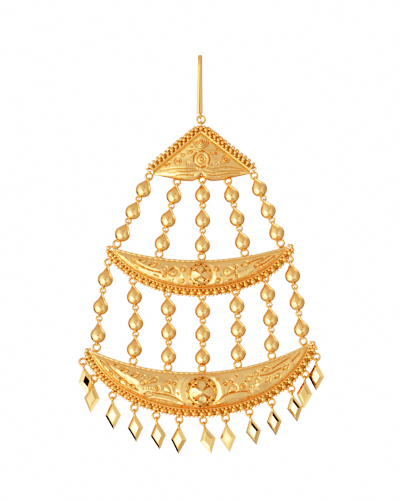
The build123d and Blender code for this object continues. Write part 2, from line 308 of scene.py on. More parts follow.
class Metal:
    """Collects parts of one piece, in millimetres, and makes the piece."""

    def __init__(self):
        self.points, self.faces, self.painted_shade, self.count = [], [], [], 0

    def add(self, points, faces, painted_shade=0.0):
        """Adds points and faces, with painted shade, 0 to 1, in the colour of all or each."""
        points = np.asarray(points, float)
        self.points.append(points)
        self.faces += (np.asarray(faces) + self.count).tolist()
        self.painted_shade.append(np.broadcast_to(painted_shade, len(points)))
        self.count += len(points)

    def cap(self, first, count, flip=False):
        """One face over points that follow each other."""
        face = list(range(first, first + count))
        self.faces.append(face[::-1] if flip else face)

    def ball(self, at, radius):
        # Each granule gets painted shade all over, in place of gold reflected between the packed
        # balls.
        self.add(at + SMALL_BALL[0] * radius, SMALL_BALL[1], BALL_SHADE)

    def tube(self, path, radius, sides=12, closed=False, shade=0.0):
        """A tube along 3-D points. radius may vary with point and side, and its painted shade with
        the point.
        """
        path = np.asarray(path, float)
        count = len(path)
        chords = np.roll(path, -1, 0) - np.roll(path, 1, 0)
        run = direction(chords if closed else np.gradient(path, axis=0))
        side = np.cross(run[0], (0.31, 0.52, 0.79))
        across = []
        for tangent in [*run, run[0]] if closed else run:
            side = direction(side - tangent * (side @ tangent))
            across.append(side)
        across = np.array(across)
        slip = 0.0
        if closed:
            lift = np.cross(run[0], across[0])
            slip = math.atan2(across[-1] @ lift, across[-1] @ across[0])
            across = across[:-1]
        rise = np.cross(run, across)
        slips = slip * np.linspace(0, 1, count, endpoint=not closed)[:, None]
        turns = full_turn(sides) - slips
        reach = np.broadcast_to(np.asarray(radius, float).T, (sides, count)).T
        ring = np.cos(turns)[..., None] * across[:, None] + np.sin(turns)[..., None] * rise[:, None]
        points = (path[:, None] + reach[..., None] * ring).reshape(-1, 3)
        faces = grid_faces(count + closed, sides, around=True) % len(points)
        self.add(points, faces, np.repeat(np.broadcast_to(shade, count), sides))
        if not closed:
            self.cap(self.count - len(points), sides, flip=True)
            self.cap(self.count - sides, sides)

    def ring(self, centre, radius, wire, face_on=True, lean=0.0, sides=12, count=36):
        """A wire ring that faces the front, or stands edge-on and leans to the right."""
        turns = full_turn(count)
        lean = math.radians(lean)
        up = np.array((math.sin(lean), 0, math.cos(lean)))
        other = np.array((1.0, 0, 0)) if face_on else FRONT
        path = radius * (np.cos(turns)[:, None] * up + np.sin(turns)[:, None] * other)
        # The ring gets painted shade all over.
        self.tube(np.asarray(centre) + path, wire, sides, closed=True, shade=RING_SHADE)

    def band(self, plane, inner, outer):
        """The strip behind a plate's granules, between its edge and the band's outer edge, with shade
        painted on it.
        """
        count = len(inner)
        fronts = in_3d(inner, BAND_FRONT), in_3d(outer, BAND_FRONT - BAND_SLOPE)
        backs = in_3d(outer, -BAND_BACK), in_3d(inner, -BAND_BACK)
        points = plane.place(np.stack([*fronts, *backs], 1).reshape(-1, 3))
        # Painted shade: dark between the granules in front, light at the back.
        shade = np.tile((BAND_SHADE, BAND_SHADE, BAND_BACK_SHADE, BAND_BACK_SHADE), count)
        self.add(points, grid_faces(count, 4, around=True)[:, ::-1], shade)
        self.cap(self.count - len(points), 4)
        self.cap(self.count - 4, 4, flip=True)

    def sheet(self, plane, x, low, high, rows, front):
        """A closed plate between two edges over x. front(x, y) gives height and painted shade."""
        share = np.linspace(0, 1, rows)[None, :]
        y = low[:, None] + (high - low)[:, None] * share
        x_grid = np.broadcast_to(x[:, None], y.shape)
        height, painted_shade = front(x_grid, y)
        points = np.stack([x_grid, y, height], -1).reshape(-1, 3)
        columns = len(x)
        start = self.count
        self.add(plane.place(points), grid_faces(columns, rows), painted_shade.ravel())
        back = np.stack([np.column_stack([x, edge, np.full(columns, -PLATE_BACK)])
                         for edge in (low, high)], 1)
        back_start = self.count
        self.add(plane.place(back.reshape(-1, 3)), grid_faces(columns, 2)[:, ::-1])
        for i in range(columns - 1):
            a, b = start + i * rows, start + (i + 1) * rows
            c, d = back_start + 2 * i, back_start + 2 * (i + 1)
            self.faces += [[a, c, d, b], [a + rows - 1, b + rows - 1, d + 1, c + 1]]
        first = list(range(start, start + rows))
        last = list(range(back_start - rows, back_start))
        self.faces.append(first + [back_start + 1, back_start])
        self.faces.append(last[::-1] + [self.count - 2, self.count - 1])

    def piece(self, name, material, nodes=(), slot=PLATE_SLOT, body="pendant", sharp=38):
        """Makes the piece, on its body, in place of the CAD nodes named."""
        mesh = bpy.data.meshes.new(name)
        mesh.from_pydata((np.vstack(self.points) * MM).tolist(), [], self.faces)
        mesh.validate()
        # The painted shade goes on the mesh as a point attribute.
        mesh.attributes.new("painted_shade", "FLOAT", "POINT")
        mesh.attributes["painted_shade"].data.foreach_set("value", np.concatenate(self.painted_shade))
        mesh.shade_smooth()
        mesh.set_sharp_from_angle(angle=math.radians(sharp))
        mesh.materials.append(material)
        made = bpy.data.objects.new(name, mesh)
        bpy.context.scene.collection.objects.link(made)
        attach(made, body)
        if nodes:
            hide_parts(*nodes)


# --- Embossed ornament ---


class Relief:
    """Ornament that is raised from a sheet's front or cut into it."""

    def __init__(self, x, y):
        self.x, self.y = x, y
        self.height = np.zeros_like(y)
        # Painted shade in the ornament's grooves, pressed rings and holes.
        self.painted_shade = np.zeros_like(y)

    def distance(self, path, reach):
        """The sheet's points within reach of a path, and their distances from it."""
        path = np.asarray(path, float)
        low, high = path.min(0) - reach, path.max(0) + reach
        near = (self.x > low[0]) & (self.x < high[0]) & (self.y > low[1]) & (self.y < high[1])
        points = np.stack([self.x[near], self.y[near]], 1)
        best = np.full(len(points), reach)
        for a, b in zip(path, path[1:]):
            run = b - a
            share = np.clip((points - a) @ run / max(run @ run, 1e-9), 0, 1)
            gap = np.linalg.norm(points - a - share[:, None] * run, axis=1)
            best = np.minimum(best, gap)
        return near, best

    def gap(self, path, reach):
        """Each point's distance from a path, up to reach."""
        gaps = np.full_like(self.y, reach)
        near, best = self.distance(path, reach)
        gaps[near] = best
        return gaps

    def cut(self, path, width=0.17, depth=0.18, dark=0.5):
        """A groove along a path, with shade painted into it."""
        near, gap = self.distance(path, 3 * width)
        self.height[near] -= depth * np.exp(-((gap / width) ** 2))
        groove_shade = dark * np.exp(-((gap / (1.2 * width)) ** 4))
        self.painted_shade[near] = np.maximum(self.painted_shade[near], groove_shade)

    def scrolls(self, *paths, **groove):
        """Grooves along smooth curves, each through the points of a path."""
        for path in paths:
            self.cut(smooth(path), **groove)

    def ridge(self, path, width, height):
        """A soft raised line along a path."""
        near, gap = self.distance(path, 3 * width)
        self.height[near] += height * np.exp(-((gap / width) ** 2))

    def dot(self, x, y, radius):
        """A raised round dot in a pressed ring, with shade painted into the ring."""
        gap = np.hypot(self.x - x, self.y - y)
        self.height += radius * np.sqrt(np.clip(1 - (gap / radius) ** 2, 0, 1))
        ring_radius, width, depth, dark = 1.2 * radius, 0.16, 0.1, 0.3
        pressed = np.exp(-(((gap - ring_radius) / width) ** 2))
        self.height -= depth * pressed
        self.painted_shade = np.maximum(self.painted_shade, dark * pressed)

    def pit(self, x, y, radius):
        """A round hole with shade painted into it."""
        gap = np.hypot(self.x - x, self.y - y)
        fall = np.exp(-((gap / radius) ** 2))
        self.height -= 0.5 * radius * fall
        self.painted_shade = np.maximum(self.painted_shade, fall)

    def circle(self, x, y, radius):
        self.cut(arc(x, y, radius, 0, 360, 32), width=0.15, depth=0.13, dark=0.45)

    def target(self, x, y, radius):
        """A ring round a dot."""
        self.circle(x, y, radius)
        self.dot(x, y, 0.38 * radius)

    def leaf(self, x0, y0, x1, y1):
        """A raised almond leaf from root to tip, with a slit at its root that has shade painted into
        it.
        """
        start, end = np.array((x0, y0)), np.array((x1, y1))
        run = end - start
        side = 0.3 * np.array((-run[1], run[0]))
        centre = (start + end) / 2
        self.ridge([start + 0.25 * run, start + 0.8 * run], width=0.35, height=0.16)
        edges = [[start, centre + way * side, end] for way in (1, -1)]
        self.scrolls(*edges, width=0.15, depth=0.12, dark=0.45)
        self.cut([start + 0.05 * run, start + 0.35 * run], width=0.17, depth=0.16, dark=0.8)

    def drop(self, x, y, radius, tail_x, tail_y):
        """A paisley drop: a round head drawn out to a tail."""
        angle = math.degrees(math.atan2(tail_y - y, tail_x - x))
        head = arc(x, y, radius, angle + 55, angle + 305)
        tail = [(tail_x, tail_y)]
        self.ridge([(x, y), ((x + tail_x) / 2, (y + tail_y) / 2)], width=0.4, height=0.14)
        self.cut(np.vstack([tail, head, tail]), width=0.19, depth=0.14)


def each(draw, *rows):
    """Calls draw with each row of values."""
    for row in rows:
        draw(*row)


# --- Plates ---


def ellipse_y(shape, x):
    """Height of a crescent's lower edge."""
    middle_y = shape.depth - shape.belly
    share = np.clip(x / shape.half_width, -1, 1)
    return middle_y - shape.depth * np.sqrt(1 - share**2)


def arc_y(shape, x):
    """Height of a crescent's upper edge."""
    tip_y = ellipse_y(shape, shape.tip_x)
    radius = (shape.tip_x**2 + tip_y**2) / (2 * tip_y)
    return radius - np.sqrt(radius**2 - x**2)


def lower_edge(shape):
    """A crescent's lower edge, from the left tip to the right."""
    tip = math.degrees(math.acos(shape.tip_x / shape.half_width))
    angles = np.radians(np.linspace(180 + tip, 360 - tip, 400))
    y = shape.depth - shape.belly + shape.depth * np.sin(angles)
    return np.stack([shape.half_width * np.cos(angles), y], 1)


def granules(metal, plane, path, pitch, radius, h, shift):
    """A row of soldered balls along a path on a plane, none quite alike."""
    length = along(path)[-1]
    count = int((length - shift * pitch) / pitch)
    places = (shift + 0.5 + np.arange(count)) * length / (count + shift)
    for x, y in spaced(path, places):
        slip = chance.uniform(-1, 1, 3) * GRANULE_SLIP
        size = radius * chance.uniform(*GRANULE_SIZES)
        metal.ball(plane.spot(x, y, h) + plane.axes.T @ slip, size)


def rope(metal, plane, path, radius, twist_pitch, h):
    """A flattened two-strand rope wire."""
    path = spaced(path, np.arange(0, along(path)[-1], 0.12))
    sides = 14
    phase = np.pi * along(path)[:, None] / twist_pitch
    reach = radius * (0.84 + 0.2 * np.abs(np.cos(full_turn(sides) - phase)))
    metal.tube(plane.place(in_3d(path, h)), reach, sides)


def rosette(metal, plane, y, radius, h):
    """A low flower of four mirror petals inside a notched collar and a plain wire."""
    # out and side run along and across the nearest petal, spoke_out and spoke_side along and
    # across the nearest gap. All are shares of the radius.
    rows, columns = 64, 240
    share = np.linspace(0.0, 1.0, rows)[:, None] ** 0.9
    angle = full_turn(columns)
    off_axis = np.abs((angle + np.pi / 4) % (np.pi / 2) - np.pi / 4)
    out, side = share * np.cos(off_axis), share * np.sin(off_axis)
    spoke_out = share * np.cos(np.pi / 4 - off_axis)
    spoke_side = share * np.sin(np.pi / 4 - off_axis)

    def step(edge, blur=0.03):
        return np.clip(edge / blur + 0.5, 0, 1)

    def bump(distance, width):
        return np.exp(-((distance / width) ** 2))

    round_end = np.sqrt(np.clip(0.31**2 - np.clip(out - 0.41, 0, None) ** 2, 0, None))
    width = np.minimum(0.74 * out, round_end)
    petal = step(width - side)
    cone = 0.34 - 0.42 * out + 0.3 * side**2
    between = 0.27 - 0.36 * share + 0.06 * bump(spoke_side, 0.035) * step(0.6 - spoke_out)
    motif = 0.018 * bump(np.hypot(out - 0.43, side) - 0.09, 0.03)
    height = (cone + motif) * petal + between * (1 - petal)
    pit = bump(np.hypot(spoke_out - 0.62, spoke_side - 0.09), 0.055)
    height = height - 0.08 * pit

    collar = step(share - 0.77)
    notch = np.clip(2 * np.cos(12 * angle + 1.3) - 0.9, 0, 1) * bump(share - 0.86, 0.06)
    band = 0.10 * bump(share - 0.85, 0.075) - 0.1 * notch + 0.06 * bump(share - 0.965, 0.03) - 0.03
    height = height * (1 - collar) + band * collar

    # Painted shade in the seams round the petals, the ditches, pits and notches, a little on the
    # collar, and full under the skirt.
    seam = 0.6 * bump(width - side, 0.025) * step(share - 0.15)
    ditch = 0.65 * bump(share - 0.765, 0.02) + 0.6 * bump(share - 0.925, 0.018)
    painted_shade = np.clip(np.maximum(seam * (1 - collar), ditch) + pit + notch, 0, 1)
    painted_shade = np.maximum(painted_shade, 0.12 * collar * step(0.92 - share))

    points = np.stack([
        radius * share * np.cos(angle),
        y + radius * share * np.sin(angle),
        h + radius * height,
    ], -1).reshape(-1, 3)
    skirt = in_3d(points[-columns:, :2], h - 1.2)
    points = np.vstack([points[columns - 1:], skirt])
    painted_shade = np.concatenate([painted_shade.ravel()[columns - 1:], np.ones(columns)])
    faces = grid_faces(rows, columns, around=True)[:, ::-1] + 1
    start = metal.count
    metal.add(plane.place(points), faces, painted_shade)
    metal.faces += [[start, start + 1 + i, start + 1 + (i + 1) % columns] for i in range(columns)]
    metal.cap(metal.count - columns, columns, flip=True)


def dome_shape(shape, x, y):
    """Height of a crescent's smooth dome, steep at its edges and lower towards the tips."""
    low, high = ellipse_y(shape, x), arc_y(shape, x)
    width = np.maximum(high - low, 0.01)
    share = np.clip((y - low) / width, 0, 1) ** 0.85
    full = shape.dome * (width / shape.belly) ** 0.75
    return RIM + full * (4 * share * (1 - share)) ** 0.72


def crescent(name, shape, ornament, rings):
    """A crescent plate with its ornament, wires, granules, rosette and rings."""
    plane = Plane(shape.x, -shape.drop, shape.tilt)
    edge = lower_edge(shape)

    def front(x, y):
        relief = Relief(x, y)
        ornament(relief)
        below = relief.gap(edge[::3], 3.0)
        above = arc_y(shape, x) - y
        fade = climb(np.minimum(below, above), 0.7, 1.1)
        # Painted shade in the channel inside the edge wire and along the rope, beside the ornament's
        # painted shade.
        channel = climb(below, 1.0, 0.75)
        edge_shade = np.maximum(channel, np.exp(-((above / 0.6) ** 2)))
        height = dome_shape(shape, x, y) + RELIEF * relief.height * fade
        return height, np.maximum(ORNAMENT_SHADE * relief.painted_shade * fade, PLATE_EDGE_SHADE * edge_shade)

    rows = int(shape.belly / CRESCENT_STEP)
    columns = int(shape.tip_x * 2 / CRESCENT_STEP)
    sides = spaced(edge, np.linspace(0, along(edge)[-1], columns))[:, 0]
    x = sides * (shape.tip_x - 0.12) / shape.tip_x
    sheet = Metal()
    sheet.sheet(plane, x, ellipse_y(shape, x), arc_y(shape, x), rows, front)
    sheet.piece(f"{name}_sheet", embossed, [name])

    wires = Metal()
    wires.tube(plane.place(in_3d(offset(edge, 0.15), RIM)), 0.3)
    top_x = np.linspace(-shape.tip_x, shape.tip_x, 300)
    rope(wires, plane, np.column_stack([top_x, arc_y(shape, top_x)]), 0.45, 1.65, RIM)
    wires.band(plane, edge, offset(edge, BAND_WIDTH))
    for spot, ring in rings:
        wires.ring(spot, *ring)
    wires.piece(f"{name}_wires", polished)

    balls = Metal()
    for out, pitch, radius, h, shift in CRESCENT_ROWS:
        granules(balls, plane, offset(edge, out), pitch, radius, h, shift)
    for side, tip in ((-1, edge[0]), (1, edge[-1])):
        for out, up, h, radius in TIP_BALLS:
            balls.ball(plane.spot(tip[0] + side * out, tip[1] + up, h), radius)
    balls.piece(f"{name}_granules", granule_gold)

    flower = Metal()
    rosette_h = dome_shape(shape, 0, shape.rosette_y)
    rosette(flower, plane, shape.rosette_y, shape.rosette_r, rosette_h)
    flower.piece(f"{name}_rosette", mirror_gold, sharp=25)


def middle_ornament(relief):
    each(
        relief.ridge,
        (arc(0, middle.rosette_y, 4.9, -40, 45), 0.7, 0.14),
        (arc(0, middle.rosette_y, 5, 135, 220), 0.7, 0.12),
        (smooth([(-23, 0.6), (-19.6, -2.6), (-15, -5), (-9.5, -6.6)]), 0.8, 0.26),
        (smooth([(-20.6, 1.9), (-17, -0.6), (-12.4, -2.4)]), 0.7, 0.18),
        (smooth([(7, -7.4), (12, -5.8), (17.6, -3), (22, 0.4)]), 0.8, 0.2),
    )
    each(
        relief.dot,
        (-5, -2.2, 0.62), (-5.4, -6, 0.62), (5, -2.2, 0.62), (5.5, -5.9, 0.62),
        (10.9, -1.7, 0.35), (11, -4.5, 0.35),
    )
    relief.scrolls(
        [(-19.9, 1.05), (-18.5, -0.5), (-15.7, -2.2), (-11.6, -3.3)],
        [(-20.8, 1.3), (-19.3, -0.3), (-16.6, -2)],
        [(-13.7, -3.8), (-12.4, -4.4)],
        [(-11.1, -4.4), (-7.7, -1.6)],
        [(8.6, -5.7), (9.8, -5.5)],
        [(10.8, -1.8), (10.5, -3.1), (10.9, -4.4)],
        [(14.2, -0.7), (16.9, 0.3), (19.1, 0.9)],
        [(17.6, -0.5), (20.9, 1.5), (24, 3.1)],
        [(16.5, -2), (19.5, -0.6), (22.6, 1.6)],
    )
    each(
        relief.leaf,
        (-18.2, 0.5, -15.6, 0.5), (-15.3, -1, -12.6, -0.6),
        (12.4, -1.3, 15, -0.6), (16.2, -1.6, 18.6, -0.9),
    )
    relief.target(-18.9, -1.9, 0.55)
    each(relief.circle, (-10.5, -2.1, 0.6), (-10.5, -4.1, 0.5))
    each(relief.drop, (-7.9, -3.1, 1.2, -10.2, -3.2), (8.4, -3.1, 1.25, 10.6, -3.2))
    each(
        relief.pit,
        (-23.1, 1.2, 0.3), (-7.9, -3.1, 0.28), (8.4, -3.1, 0.28),
        (-8.9, -5.7, 0.25), (-8, -5.5, 0.25),
    )


def lower_ornament(relief):
    each(
        relief.ridge,
        (arc(0, lower.rosette_y, 6.1, -38, 48), 0.9, 0.3),
        (arc(0, lower.rosette_y, 6.3, 132, 218), 0.9, 0.24),
        (smooth([(5.4, -9.2), (9, -7.7), (14.2, -6.9)]), 0.8, 0.3),
        (smooth([(-5.6, -9.4), (-9.4, -7.8), (-14.6, -6.6)]), 0.8, 0.24),
        (smooth([(-28.6, 3), (-25.2, -1.2), (-21, -4.8), (-17, -7)]), 0.9, 0.3),
        (smooth([(-27, 3.6), (-22.5, 0.8), (-18.6, -1.6)]), 0.8, 0.2),
        (smooth([(17.5, -3.6), (22, -1.2), (27, 2)]), 0.8, 0.22),
    )
    each(
        relief.dot,
        (-9.8, -2.2, 0.45), (-8, -2.65, 0.45), (5, -1.8, 0.35), (7.2, -3.2, 0.45),
        (8.9, -2.7, 0.45), (-7.7, -0.8, 0.25), (10.6, -1, 0.25), (14.2, -5.9, 0.3),
    )
    each(relief.target, (-13.4, -4, 0.8), (12.5, -4.15, 0.85))
    for x in (-17.3, -16.5, -15.7, -14.9):
        relief.pit(x, -3.95, 0.24)
    for x in (15.1, 16):
        relief.pit(x, -4.4, 0.24)
    relief.scrolls(
        [(-28.2, 4.6), (-26.4, 2), (-23.9, -0.3), (-20.5, -3.4), (-18.9, -4.4)],
        [(-4.8, -9.2), (-8.9, -6.5), (-14.6, -5.3)],
        [(-13.7, -7.3), (-11.9, -7.6), (-10, -8.2)],
        [(-7.2, -5.5), (-6.9, -6.1)],
        [(4.1, -9), (7.3, -6.6), (10.6, -5.85), (13.7, -5.7)],
        [(17.8, -1.2), (20.7, -0.65), (24.3, 1)],
        [(21.5, 0.9), (25, 3), (28.5, 5.2)],
        [(27.4, 2.9), (29.4, 4.8), (31, 6.4)],
    )
    each(
        relief.leaf,
        (-30, 4.8, -29, 3), (-27.3, 1.8, -26.5, 0.3), (-24.4, -0.6, -22.2, -2.9),
        (-21, -2.6, -19.6, -4), (-25.8, 3.4, -23, 3.1), (-23.9, 1.7, -21.3, 1.5),
        (-20.9, 0, -18.4, 0.2), (-17.3, -5.6, -14.4, -5.9), (13.2, -2.8, 15.6, -1.2),
        (18.3, 0.4, 20.6, 0.9), (19.3, -3.2, 20.8, -1.6), (22.2, -2.2, 23.8, -0.7),
        (24.7, 0.3, 26.4, 1.9),
    )
    each(
        relief.circle,
        (-17.3, -0.6, 0.6), (-17.5, -2.2, 0.7), (16.7, -0.5, 0.62), (16.9, -2.6, 0.7),
    )
    each(
        relief.drop,
        (-13.8, -1.4, 0.75, -16.9, -2.6), (-10.4, -4.2, 1, -8.9, -5.7),
        (9.6, -4.7, 1.1, 7.8, -6.1),
    )


def tent_ornament(relief):
    for radius in (2.35, 1.7, 1.05):
        relief.cut(arc(*SHELL, radius, 185, 355), width=0.17, depth=0.16, dark=0.4)
    for start, end in ((-35, 40), (60, 105), (125, 200), (215, 255), (265, 300)):
        relief.cut(arc(*MEDALLION, 2.45, start, end), width=0.19, depth=0.2, dark=0.65)
    relief.ridge(arc(*MEDALLION, 1.9, 0, 360, 48), width=0.35, height=0.1)
    relief.circle(*MEDALLION, 1.3)
    each(relief.target, (-7, -11.1, 1.05), (7.4, -10.65, 1.1))
    each(
        relief.circle,
        (-5.5, -9.2, 0.45), (-4.1, -11.9, 0.35), (-2.8, -6.8, 0.3), (-6.5, -8, 0.3),
        (3.1, -8.9, 0.35), (4.7, -12, 0.42),
    )
    each(
        relief.dot,
        (0.1, -5.1, 0.4), (*MEDALLION, 0.5),
        (-9.75, -11.85, 0.3), (-10.7, -12.2, 0.3), (4.4, -8.8, 0.3), (4.8, -7.6, 0.2),
    )
    relief.drop(-3, -8.3, 0.45, -4, -8.9)
    relief.scrolls(
        [(-5.2, -11.5), (-2.1, -9.4)],
        [(-4.2, -8), (-2.8, -7.6), (-1.5, -7.6)],
        [(1.9, -7.9), (3.8, -7.9), (5.8, -8.3)],
        width=0.13, depth=0.08,
    )
    relief.scrolls(
        [(-12.2, -13.9), (-8.4, -13.3), (-4.8, -13.3), (-1.5, -13.5)],
        [(-9.6, -14.7), (-6.6, -14.2), (-3.8, -14.3), (-0.6, -13.8)],
        [(-7.4, -15.5), (-4.9, -15.3), (-2.2, -15.4)],
        [(1.9, -13.2), (4.4, -13.4), (7.3, -12.9), (12.4, -13.7)],
        [(0.9, -14), (3.6, -14.7), (6.4, -14.3), (13, -14.2)],
        [(2, -15.4), (4.6, -15.6), (8.2, -15), (11.5, -14.9)],
        width=0.18, depth=0.12,
    )


def tent_low(x):
    """Height of the top plate's lower edge, with its two lobes."""
    lobe = arc_through((0, -15.2), (1.4, -16.7), TENT_LOBE)
    flank = arc_through(TENT_LOBE, (5.8, -17.1), (7.5, -16.7))
    outline = np.vstack([lobe, flank[1:], [TENT_FOOT]])
    return np.interp(np.abs(x), outline[:, 0], outline[:, 1])


def tent_high(x):
    """Height of the top plate's two upper edges."""
    slope = (TENT_CORNER[1] - TENT_PEAK) / TENT_CORNER[0]
    return TENT_PEAK + np.abs(x) * slope


def tent_front(x, y):
    """The top plate's domed and embossed front."""
    relief = Relief(x, y)
    edge_x = np.linspace(-TENT_CORNER[0], TENT_CORNER[0], 161)
    edge_y = tent_low(edge_x)
    no_notch = np.where(np.abs(edge_x) < TENT_LOBE[0], TENT_LOBE[1], edge_y)
    rim = relief.gap(np.column_stack([edge_x, edge_y]), 1.5)
    below = relief.gap(np.column_stack([edge_x, no_notch]), 8.0)
    slant = math.hypot(TENT_CORNER[0], TENT_PEAK - TENT_CORNER[1])
    above = (tent_high(x) - y) * TENT_CORNER[0] / slant
    rise = np.sin(np.pi / 2 * climb(above, 0.7, 5.7))
    roll = quarter(climb(below, 0, 3.2))
    edge_roll = 0.35 + 0.65 * quarter(climb(rim, 0, 0.9))
    tent_ornament(relief)
    fade = climb(np.minimum(above, rim), 0.6, 1.0)
    height = RIM + TENT_DOME * rise * roll * edge_roll + RELIEF * relief.height * fade
    # Painted shade in the channel below the upper wires and along the lower edge, beside the
    # ornament's painted shade.
    channel = climb(above, 0.9, 0.65)
    edge_shade = np.maximum(0.45 * channel, 0.5 * np.exp(-((rim / 0.35) ** 2)))
    return height, np.maximum(ORNAMENT_SHADE * relief.painted_shade * fade, edge_shade)


def top_plate(rings):
    """The tent-shaped plate with its wires, loop, granules and rings."""
    plane = Plane(0, loop_z, TOP_TILT)
    x = np.linspace(-TENT_CORNER[0], TENT_CORNER[0], 321)
    sheet = Metal()
    sheet.sheet(plane, x, tent_low(x), tent_high(x), 150, tent_front)
    sheet.piece("top_plate_sheet", embossed, ["top_plate"])

    left = (-TENT_CORNER[0], TENT_CORNER[1])
    peak = (0, TENT_PEAK)
    border = np.vstack([np.linspace(left, peak, 60), np.linspace(peak, TENT_CORNER, 60)[1:]])
    wires = Metal()
    wires.tube(plane.place(in_3d(offset(border, -0.15), RIM + 0.1)), 0.32)
    outer = np.vstack([
        np.linspace((-16.4, -13.3), (-1.6, -0.95), 57),
        arc_through((-1.6, -0.95), (0, -0.5), (1.6, -0.95), 5),
        np.linspace((1.6, -0.95), (16.6, -13.3), 57),
    ])
    wires.band(plane, border, outer)
    wires.ring(plane.spot(0, 0), *LOOP, face_on=False)
    for spot, ring in rings:
        wires.ring(spot, *ring)
    wires.piece("top_plate_wires", polished)

    balls = Metal()
    for side in (-1, 1):
        path = np.linspace((0, TENT_PEAK), (TENT_CORNER[0] + 0.3, TENT_CORNER[1] - 0.2), 50)
        wider = 0.1 if side > 0 else 0  # the right side's rows lie farther out
        for out, radius, h, shift in TENT_ROWS:
            row = offset(path, -out - wider) * (side, 1)
            granules(balls, plane, row, TENT_PITCH, radius, h, shift)
    for side in (-1, 1):
        for x, y, h, radius in TENT_BALLS:
            balls.ball(plane.spot(side * x, y, h), radius)
    balls.ball(plane.spot(*PEAK_BALL[:3]), PEAK_BALL[3])
    balls.piece("top_plate_granules", granule_gold)


# --- Hook and ring ---


def hook():
    """The bar, bent over to the rear, with its eye and the jump ring."""
    shape = hook_shape
    leg = (shape.gap + shape.depth) / 2
    bend_z = -shape.gap / 2
    foot_z = hook_eye[2] + FOOT_RISE
    front_leg = np.linspace((-leg, foot_z), (-leg, bend_z), 24)
    bend = arc(0, bend_z, leg, 180, 0, 40)
    rear_z = bend_z - shape.straight
    rear = np.linspace((leg, bend_z), (leg, rear_z), 10)
    bow = shape.flare_radius
    flare = arc(leg + bow, rear_z, bow, 180, 180 + shape.flare_angle, 14)
    path = np.vstack([front_leg, bend[1:], rear[1:], flare[1:]])
    reach = along(path) / along(path)[-1]
    leg_share = along(front_leg)[-1] / along(path)[-1]
    foot, top, tip = shape.foot_width / 2, shape.top_width / 2, shape.top_width / 3
    width = np.interp(reach, (0, leg_share, 0.97, 1), (foot, top, top, tip))
    run = direction(np.gradient(path, axis=0))
    normal = np.stack([-run[:, 1], run[:, 0]], 1)
    sides = 28
    turns = full_turn(sides)
    sway = -HOOK_LEFT - FOOT_LEFT * np.clip(path[:, 1:] / foot_z, 0, 1) * (path[:, :1] < 0)
    depth = np.minimum(shape.depth / 2, width)[:, None] * np.sin(turns)
    points = np.stack([
        width[:, None] * np.cos(turns) + sway,
        path[:, :1] + depth * normal[:, :1],
        path[:, 1:] + depth * normal[:, 1:],
    ], -1).reshape(-1, 3)
    bar = Metal()
    faces = grid_faces(len(path), sides, around=True)[:, ::-1]
    # The bar has painted shade, the same all over.
    bar.add(points, faces, HOOK_SHADE)
    bar.cap(0, sides)
    bar.cap(bar.count - sides, sides, flip=True)
    bar.add((-HOOK_LEFT, *path[-1]) + LARGE_BALL[0] * tip, LARGE_BALL[1])
    bar.ring(hook_eye - (EYE_LEFT, 0, EYE_LOW), *HOOK_EYE, face_on=False)
    bar.piece("hook_bar", polished, ["hook"], "wire_gold", "hook")

    ring = Metal()
    ring.ring(ring_spot, *JUMP_RING, sides=16, count=48)
    ring.piece("hook_jump_ring", polished, ["hook_ring"], "wire_gold", "ring")


# --- Strings ---

Bead = namedtuple("Bead", "top foot")


def bead_ends(name):
    """The middles of a bead's two eyes, from its CAD node."""
    co = np.array([v.co[:] for v in frame["nodes"][name].data.vertices]) / MM
    high, low = co[co[:, 2].argmax()], co[co[:, 2].argmin()]
    high = np.array((high[0], pendant_y, high[2] - CAD_EYE.wire))
    low = np.array((low[0], pendant_y, low[2] + CAD_EYE.wire))
    eye_radius = CAD_EYE.radius * direction(high - low)
    return Bead(high - eye_radius, low + eye_radius)


